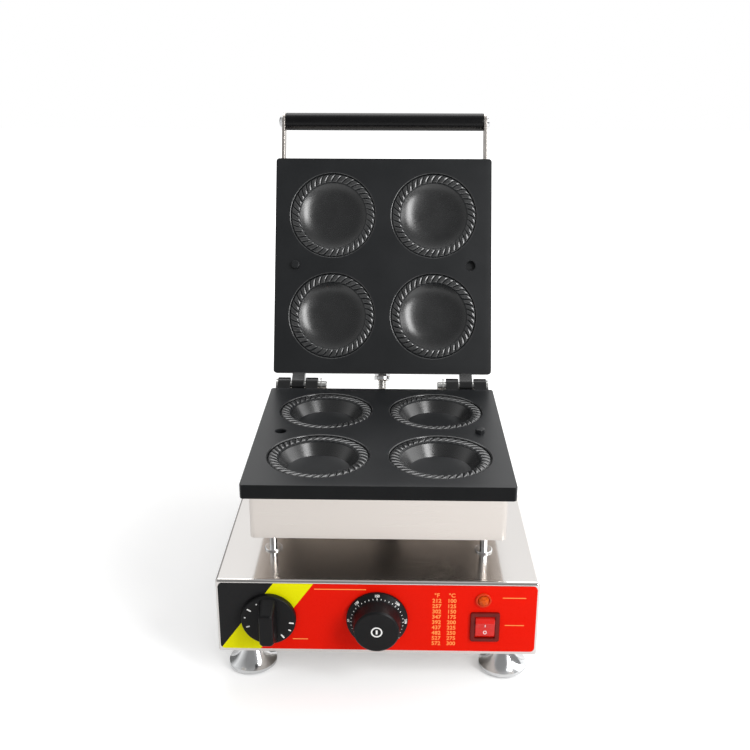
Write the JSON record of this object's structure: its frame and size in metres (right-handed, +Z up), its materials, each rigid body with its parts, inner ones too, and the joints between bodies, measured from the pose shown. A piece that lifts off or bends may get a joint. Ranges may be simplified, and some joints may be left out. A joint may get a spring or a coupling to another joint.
{
  "type": "tartlet shell maker",
  "caption": "Countertop tartlet shell maker: hinged lid and lower cast mould plates with crimped round moulds, on rods above a steel cabinet with timer, thermostat, rocker switch and lamp.",
  "frame": {"origin": "on the bench, below the middle of the bounding box of the whole object with its lid open", "axes": "+Z up, the controls face -Y, the hinge is at +Y, +X to the right as seen from the front"},
  "size_m": [0.25, 0.4108, 0.4087],
  "materials": {
    "case_plastic": "matt",
    "cast_coated": "black non-stick coat on the casting",
    "ceramic": "matt",
    "chrome": "polished",
    "conduit_steel": "ribbed flexible metal",
    "copper": "drawn",
    "element": "heat-darkened",
    "fascia_red": "satin print, black and yellow band at the left",
    "grip_black": "satin phenolic",
    "knob_black": "satin phenolic",
    "lamp_amber": "clear amber",
    "lamp_orange": "gloss",
    "mineral_wool": "pressed board",
    "rubber_black": "matt",
    "stainless": "brushed along its width",
    "switch_black": "gloss",
    "switch_red": "gloss, lit",
    "zinc_steel": "zinc plated"
  },
  "bodies": {
    "base": {"base_housing": "stainless", "base_floor": "stainless", "floor_screws": "zinc_steel", "control_panel": "fascia_red", "timer_body": "case_plastic", "thermostat_body": "case_plastic", "rocker_housing": "switch_black", "lamp_body": "lamp_orange", "lamp_lens": "lamp_amber", "lock_nuts": "zinc_steel", "power_gland": "knob_black", "terminal_block": "ceramic", "lower_plate": "cast_coated", "lower_crimps": "cast_coated", "lower_pan": "stainless", "lower_heater": "element", "lower_clamp": "zinc_steel", "lower_clamp_bolts": "zinc_steel", "lower_insulation": "mineral_wool", "support_rod_front_left": "chrome", "support_rod_rear_left": "chrome", "support_rod_front_right": "chrome", "support_rod_rear_right": "chrome", "rod_washers": "chrome", "rod_nuts": "zinc_steel", "wire_tube": "zinc_steel", "thermostat_bulb": "copper", "hinge_pin_left": "zinc_steel", "hinge_pin_right": "zinc_steel", "hinge_clips": "zinc_steel", "base_bushing": "zinc_steel", "heater_conduit": "conduit_steel"},
    "lid": {"lid_plate": "cast_coated", "lid_crimps": "cast_coated", "lid_cover": "stainless", "lid_heater": "element", "lid_clamp": "zinc_steel", "lid_clamp_bolts": "zinc_steel", "lid_insulation": "mineral_wool", "cover_screws": "chrome", "handle_arm_left": "stainless", "handle_arm_right": "stainless", "handle_grip": "grip_black", "handle_rod": "zinc_steel", "handle_screws": "chrome", "arm_screws": "chrome", "lid_gland": "chrome"},
    "timer_knob": {"timer_knob": "knob_black", "timer_shaft": "zinc_steel"},
    "thermostat_knob": {"thermostat_knob": "knob_black", "thermostat_shaft": "zinc_steel"},
    "rocker": {"rocker_button": "switch_red"},
    "foot_front_left": {"foot_front_left": "chrome", "foot_pad_front_left": "rubber_black"},
    "foot_front_right": {"foot_front_right": "chrome", "foot_pad_front_right": "rubber_black"},
    "foot_rear_left": {"foot_rear_left": "chrome", "foot_pad_rear_left": "rubber_black"},
    "foot_rear_right": {"foot_rear_right": "chrome", "foot_pad_rear_right": "rubber_black"}
  },
  "joints": [
    {"name": "lid_hinge", "type": "hinge", "parent": "base", "child": "lid", "pos_m": [0, 0.06595, 0.1604], "axis": [1, 0, 0], "range_deg": [0, 112.5], "deforming": ["heater_conduit"]},
    {"name": "timer_turn", "type": "hinge", "parent": "base", "child": "timer_knob", "pos_m": [-0.084, -0.18415, 0.0611], "axis": [0, 1, 0], "range_deg": [0, 300]},
    {"name": "thermostat_turn", "type": "hinge", "parent": "base", "child": "thermostat_knob", "pos_m": [0, -0.18415, 0.0611], "axis": [0, 1, 0], "range_deg": [0, 270]},
    {"name": "rocker_tilt", "type": "hinge", "parent": "base", "child": "rocker", "pos_m": [0.0836, -0.18115, 0.0548], "axis": [-1, 0, 0], "range_deg": [0, 16]},
    {"name": "foot_turn_front_left", "type": "hinge", "parent": "base", "child": "foot_front_left", "pos_m": [-0.102, -0.15815, 0], "axis": [0, 0, 1], "continuous": true},
    {"name": "foot_turn_front_right", "type": "hinge", "parent": "base", "child": "foot_front_right", "pos_m": [0.102, -0.15815, 0], "axis": [0, 0, 1], "continuous": true},
    {"name": "foot_turn_rear_left", "type": "hinge", "parent": "base", "child": "foot_rear_left", "pos_m": [-0.102, 0.11985, 0], "axis": [0, 0, 1], "continuous": true},
    {"name": "foot_turn_rear_right", "type": "hinge", "parent": "base", "child": "foot_rear_right", "pos_m": [0.102, 0.11985, 0], "axis": [0, 0, 1], "continuous": true}
  ]
}
